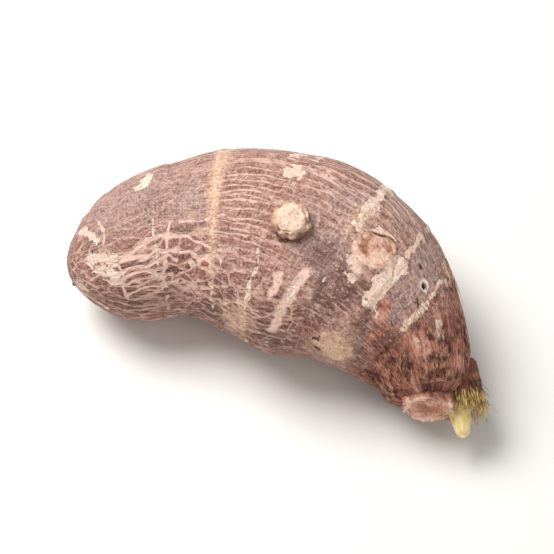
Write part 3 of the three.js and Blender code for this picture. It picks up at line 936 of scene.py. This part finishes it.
# %% Stump and base scar
FLESH_FACE = [(0.30, "bd8470"), (0.41, "e0a894"), (0.53, "f8cbb6"), (0.66, "ffe2d1"), (0.75, "c38c76"),
              (0.84, "8a5b4a")]
SCAR_FACE = [(0.44, "b99381"), (0.60, "a98272"), (0.74, "8e6a5d")]
# The last colour of each is the painted shade in its folds.
leaf_stump = bud_cork("dry_leaf_base", FLESH_FACE, "8f5c4c", "6a4034")
neck_scar = bud_cork("dry_neck_scar", SCAR_FACE, "8a675b", "4a3129")
STUMP_PROFILE = [
    (0, 1.25), (1.8, 1.15), (3.6, 1.05), (4.5, 1.1), (5, 1.2), (5.35, 0.9), (5.5, 0.1), (5.3, -1),
    (5, -2.4), (3.5, -3.2), (0, -3.4),
]
NECK_PROFILE = [
    (0, 0), (1.2, -0.05), (2.1, 0.1), (2.6, 0.35), (2.95, 0.38), (3.2, 0.1), (3.3, -0.6), (2.7, -2.2),
    (0, -2.6),
]


def facing(point, way):
    """A matrix that stands a form's +Z along a way at a point."""
    turn = Vector(way).normalized().to_track_quat("Z", "Y").to_matrix().to_4x4()
    return Matrix.Translation(Vector(point)) @ turn


def end_relief(down, around, local):
    """Torn rings and hollows on the face, and folds on the side."""
    spread = np.hypot(local[:, 0], local[:, 1])
    folds = bumps(local, (0.9, 0.9, 2.4), 60) * smooth(down, 0.3, 0.5)
    torn = 0.10 * np.sin(5.0 * spread + 3.0 * bumps(local, 2.4, 62)) * smooth(down, 0.5, 0.35)
    return 0.22 * bumps(local, 1.1, 61) + 0.34 * bumps(local, 2.6, 63) + 0.25 * folds + torn


stump_way = (math.sin(math.radians(-6)), -1, 0)
turned_form("leaf_stump", STUMP_PROFILE, facing(AXIS[-1], stump_way), leaf_stump, end_relief)
neck_at, _, _, neck_way, _ = section(np.array([0.9]))
turned_form("neck_scar", NECK_PROFILE, facing(neck_at[0], -neck_way[0]), neck_scar, end_relief)

# %% [markdown]
# ## Cushion, sheath and sprout
# The sprout leaves the crown through a cushion of skin. What is left of its first leaf is a dry sheath,
# torn into teeth. The sheath is an open tube from one operator whose upper edge is pulled down into
# notches, and solidify gives it a papery wall. The sprout is three blunt scales, one in another.

# %% Cushion
SPROUT_FOOT = np.array([35.6, -16.6, 11.0]) - MIDDLE
SPROUT_TIP = np.array([36.9, -29.2, 8.5]) - MIDDLE
SPROUT_RADIUS = 2.4
SPROUT_LENGTH = float(np.linalg.norm(SPROUT_TIP - SPROUT_FOOT))
sprout_place = facing(SPROUT_FOOT, SPROUT_TIP - SPROUT_FOOT)
CUSHION_PROFILE = [
    (0, 0.6), (2.4, 0.7), (3.4, 1.4), (3.6, 3.2), (3.95, 4.5), (4.35, 4.6), (4.65, 3.6), (4.75, 2),
    (4.7, -0.6), (3.6, -3.2), (0, -4.4),
]


def cushion_relief(down, around, local):
    return 0.35 * bumps(local, (0.9, 0.9, 5.0), 70) + 0.2 * bumps(local, 1.6, 71)


RED_FOLDS = [(0.44, "ad735c"), (0.64, "98604c"), (0.84, "74463a")]
# Its last colour is the painted shade in the cushion's folds.
red_cork = bud_cork("shaggy_crown_cork", RED_FOLDS, "7b4839", "43261e")
turned_form("sprout_cushion", CUSHION_PROFILE, sprout_place, red_cork, cushion_relief)

# %% Sheath
SHEATH_FOOT = 0.4
SHEATH_REACH = 8.2
SHEATH_INNER = 2.75
SHEATH_WALL = 0.28
TEETH = 11

sleeve = bmesh.new()
bmesh.ops.create_cone(sleeve, cap_ends=False, segments=132, radius1=1, radius2=1, depth=2)
uprights = [edge for edge in sleeve.edges if abs(edge.verts[0].co.z - edge.verts[1].co.z) > 1]
bmesh.ops.subdivide_edges(sleeve, edges=uprights, cuts=18)
sheath_mesh = mesh_from(sleeve, "torn_sheath")
tube = points_of(sheath_mesh)
tube_angle = np.arctan2(tube[:, 1], tube[:, 0])
tube_up = (tube[:, 2] + 1) / 2
on_circle = np.stack([np.cos(tube_angle), np.sin(tube_angle), 0 * tube_angle], axis=1)
tooth = (tube_angle / (2 * math.pi) * TEETH + 0.8 * bumps(on_circle * 2.0, 1.0, 80)) % 1
notch = np.abs(tooth - 0.5) * 2
edge_height = SHEATH_REACH - 0.9 - 2.6 * notch**1.5 * (0.7 + 0.4 * bumps(on_circle * 3.0, 1.0, 81))
tube_z = SHEATH_FOOT + tube_up * (edge_height - SHEATH_FOOT)
flare = 0.55 * smooth(tube_z, 4.0, 8.2)
tube_local = np.stack([SHEATH_INNER * np.cos(tube_angle), SHEATH_INNER * np.sin(tube_angle), tube_z], axis=1)
ripple = 0.22 * bumps(tube_local, (0.8, 0.8, 6.0), 82) + 0.2 * bumps(tube_local, 1.4, 83) * tube_up
sheath_local = tube_local + on_circle * (0.25 + flare + ripple)[:, None]


def dry_sheath_material():
    material, tree, shader = new_material("papery_leaf_sheath")
    growth = add(tree, "Attribute", out="Vector", attribute_name="growth")
    up = add(tree, "Attribute", out="Fac", attribute_name="up")
    veins = noise_of(tree, growth, 2.6, 4, 0.12)
    veined = add(tree, "ValToRGB", {0: veins}, stops=[
        (0.34, "5c3a1d"), (0.46, "9a7238"), (0.58, "cbaa5f"), (0.70, "ecd58e")])
    worn = add(tree, "MapRange", (up, 0.7, 1, 0, 0.5))
    finish_shader(tree, shader, layered(tree, veined, [(worn, "e0c47c")]), 0.75, bump=(veins, 0.6, 0.25))
    return material


keep(sheath_mesh, "growth", tube_local, "FLOAT_VECTOR")
keep(sheath_mesh, "up", tube_up)
torn_sheath = finish_piece("torn_sheath", sheath_mesh, placed_in(sheath_local, sprout_place),
                           dry_sheath_material())
wall = torn_sheath.modifiers.new("papery_wall", "SOLIDIFY")
wall.thickness = SHEATH_WALL * MM
wall.offset = 0
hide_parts("sheath")

# %% Sprout


def sprout_flesh():
    material, tree, shader = new_material("pale_sprout_flesh")
    growth = add(tree, "Attribute", out="Vector", attribute_name="growth")
    relief = add(tree, "Attribute", out="Fac", attribute_name="relief")
    veins = noise_of(tree, growth, 1.8, 3, 0.15)
    height = add(tree, "SeparateXYZ", {0: growth}, out="Z")
    rising = add(tree, "MapRange", (height, 3.0, 13.0))
    base = add(tree, "ValToRGB", {0: rising}, stops=[
        (0.0, "b98f52"), (0.4, "dcc078"), (0.75, "f1dd9c"), (1.0, "fae9b6")])
    veined = add(tree, "MapRange", (veins, 0.55, 0.38, 0, 0.5))
    # Painted shade: darker in the seams where one scale lies in another.
    painted_crease_shade = add(tree, "MapRange", (relief, 0.0, -0.3, 0, 0.8))
    finish_shader(tree, shader, layered(tree, base, [(veined, "cfae63"), (painted_crease_shade, "8d6b35")]), 0.5)
    shader.inputs["Subsurface Weight"].default_value = 0.15
    shader.inputs["Subsurface Scale"].default_value = 1.0 * MM
    return material


flesh = sprout_flesh()
SCALE_PROFILE = [
    (0, 1), (0.42, 0.985), (0.74, 0.94), (0.92, 0.86), (1, 0.72), (1.02, 0.5), (0.98, 0.3), (0.95, 0.12),
    (0.7, 0.03), (0, 0.02),
]
SCALES = [("outer", 1.0, 0.74, 20), ("middle", 0.87, 0.88, 150), ("inner", 0.72, 0.995, 270)]
for number, (name, wide, reach, faces) in enumerate(SCALES):
    profile = [(r * wide * SPROUT_RADIUS, h * reach * SPROUT_LENGTH) for r, h in SCALE_PROFILE]

    def scale_relief(down, around, local, faces=faces, number=number):
        overlap = np.abs(wrapped(around - math.radians(faces)))
        seam = smooth(overlap, 0.16, 0.04) * smooth(down, 0.08, 0.2)
        return 0.07 * bumps(local, (0.8, 0.8, 5.0), 90 + number) - 0.3 * seam

    piece = turned_form("sprout_scale_" + name, profile, sprout_place, flesh, scale_relief, 96)
    if name == "inner":
        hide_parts("sprout")

# %% [markdown]
# ## Fibres
# Old leaf sheaths rot down to fibres. On the crown they lie flat in the direction of growth and give it its
# shaggy look, and round the sprout they are yellow and stand out. Each is a tapered spline, one curve
# object holds a kind of fibre, and it is turned into a mesh once. A fibre has four sides, since there are
# hundreds.

# %% Fibre tools
draw = np.random.default_rng(7)
TONE_PER_METRE = 700.0


def fibre_material(name, dark, light):
    material, tree, shader = new_material(name)
    place = add(tree, "TexCoord", out="Object")
    tone = add(tree, "TexNoise", {"Vector": place, "Scale": TONE_PER_METRE, "Detail": 2.0})
    base = add(tree, "ValToRGB", {0: tone}, stops=[(0.38, dark), (0.62, light)])
    finish_shader(tree, shader, base, 0.7)
    return material


def fibres(name, paths, radius, material):
    """One mesh of tapered fibres, from paths in mm."""
    bundle = bpy.data.curves.new(name, "CURVE")
    bundle.dimensions = "3D"
    bundle.bevel_depth = radius * MM
    bundle.bevel_resolution = 0
    bundle.use_fill_caps = True
    for path in paths:
        spline = bundle.splines.new("POLY")
        spline.points.add(len(path) - 1)
        taper = 1 - 0.8 * np.linspace(0, 1, len(path)) ** 1.6
        for point, place, thick in zip(spline.points, path, taper):
            point.co = (*(place * MM), 1)
            point.radius = thick
    carrier = bpy.data.objects.new(name, bundle)
    mesh = bpy.data.meshes.new_from_object(carrier)
    bpy.data.objects.remove(carrier)
    return finish_piece(name, mesh, points_of(mesh) / MM, material)


def outward_at(turned):
    """The way out of the sprout and the way round it, at an angle round it."""
    x, y = math.cos(turned), math.sin(turned)
    return np.array([x, y, 0]), np.array([-y, x, 0])


SPROUT_WAY = np.array([0, 0, 1])

# %% Crown fibres
CROWN_FIBRES = 620
LOWEST = 0.4  # mm over the table

crown_paths = []
for _ in range(CROWN_FIBRES):
    start = 73.0 + 15.0 * draw.random() ** 0.7
    turned = draw.uniform(0, 2 * math.pi)
    reach = min(draw.uniform(3.0, 12.0), LENGTH - start + 1.2)
    bend = draw.normal(0, 0.14)
    lift = draw.uniform(0.1, 0.95) ** 2.5
    t = np.linspace(0, 1, 7)
    sway = turned + bend * t + 0.05 * np.sin(7 * t + 6 * draw.random())
    height = 0.10 + lift * t**2
    crown_paths.append(skin(np.minimum(start + reach * t, LENGTH - 2.2), sway, height))
crown_paths = [path for path in crown_paths if path[:, 2].min() > LOWEST]
fibres("crown_fibres", crown_paths, 0.075, fibre_material("red_brown_fibre", "5a2c20", "cf9a80"))

# %% Fibres on the cushion
CUSHION_FIBRES = 150
CUSHION_RADIUS = 4.7

cushion_paths = []
for _ in range(CUSHION_FIBRES):
    outward, across = outward_at(draw.uniform(0, 2 * math.pi))
    first = draw.uniform(-2.0, 2.0)
    t = np.linspace(0, 1, 6)[:, None]
    local = SPROUT_WAY * (first + draw.uniform(2.0, 4.0) * t)
    local = local + outward * (CUSHION_RADIUS + draw.uniform(0.1, 0.7) * t**2)
    local = local + across * (draw.normal(0, 0.5) * t**2)
    cushion_paths.append(placed_in(local, sprout_place))
sheath_fibre = fibre_material("dark_sheath_fibre", "5a3023", "b98566")
fibres("cushion_fibres", cushion_paths, 0.10, sheath_fibre)

# %% Yellow fibres round the sprout
YELLOW_FIBRES = 190

yellow_paths = []
for _ in range(YELLOW_FIBRES):
    outward, across = outward_at(draw.uniform(0, 2 * math.pi))
    reach = draw.uniform(3.0, 7.5)
    out = draw.uniform(-0.12, 0.42)
    t = np.linspace(0, 1, 7)[:, None]
    if (np.array(sprout_place.to_3x3()) @ outward)[0] < 0.2:  # the stump stands on this side
        out = min(out, -0.02)
        reach = min(reach, 5.0)
    local = outward * (4.1 + reach * out * t) + SPROUT_WAY * (3.2 + reach * t * math.sqrt(1 - out**2))
    local = local + across * (0.5 * draw.normal() * np.sin(3 * t))
    local = local + outward * (0.3 * draw.normal() * np.sin(5 * t))
    yellow_paths.append(placed_in(local, sprout_place))
fibres("sprout_fibres", yellow_paths, 0.14, fibre_material("yellow_fibre", "8e6a33", "e6c983"))

# %% Dark hairs by the sprout
LOOSE_HAIRS = 26

hair_paths = []
for _ in range(LOOSE_HAIRS):
    outward, _across = outward_at(draw.uniform(-0.9, 1.6))
    t = np.linspace(0, 1, 16)
    reach = draw.uniform(4.0, 7.5)
    curl = draw.uniform(0.5, 1.3)
    phase = draw.uniform(0, 6.28)
    curls = np.stack([curl * np.sin(5 * t + phase), curl * np.cos(4 * t + phase), 0 * t], axis=1)
    t = t[:, None]
    local = outward * (4.2 + 1.6 * t * draw.uniform(0.2, 1.0)) + SPROUT_WAY * (1.0 + reach * t) + curls * t
    hair_paths.append(placed_in(local, sprout_place))
fibres("loose_hairs", hair_paths, 0.07, fibre_material("dark_root_hair", "2f1a12", "6a4434"))

# %% [markdown]
# ## Floor, light and the last measure
# The floor is a pale matt sheet. A large soft lamp stands up and to the left, behind the root, so that the
# knob's shadow falls to its lower right, and a weak broad one fills the near side from the right.

# %% Floor and lamps
floor_form = bmesh.new()
bmesh.ops.create_grid(floor_form, x_segments=1, y_segments=1, size=3.0)
paper, _, paper_shader = new_material("matt_paper")
paper_shader.inputs["Base Color"].default_value = colour("efeeec")
paper_shader.inputs["Roughness"].default_value = 0.9
floor = new_object("studio_floor", mesh_from(floor_form, "studio_floor"))
floor.data.materials.append(paper)

LAMPS = [
    # name, place in metres, size, watts, colour
    ("key_lamp", (-0.22, 0.14, 0.44), 0.34, 3.1, "fffdfa"),
    ("fill_lamp", (0.34, -0.38, 0.45), 0.60, 1.15, "fffaf6"),
]
staged = [floor]
for name, place, size, watts, tint in LAMPS:
    lamp_data = bpy.data.lights.new(name, "AREA")
    lamp_data.shape = "DISK"
    lamp_data.size = size
    lamp_data.energy = watts
    lamp_data.color = colour(tint)[:3]
    lamp = new_object(name, lamp_data)
    lamp.location = place
    lamp.rotation_euler = (Vector(place) - aim).to_track_quat("Z", "Y").to_euler()
    staged.append(lamp)
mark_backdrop(*staged)

world = bpy.data.worlds.new("pale_room")
world.use_nodes = True
world.node_tree.nodes["Background"].inputs["Color"].default_value = colour("faf9f7")
world.node_tree.nodes["Background"].inputs["Strength"].default_value = 0.28
bpy.context.scene.world = world
bpy.context.scene.view_settings.view_transform = "Standard"

# %% The size, before and after
sizes = {"cad": cad_box, "visual": [list(corner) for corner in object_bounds()]}
for name, box in sizes.items():
    print(name, [[round(x / MM, 2) for x in corner] for corner in box])
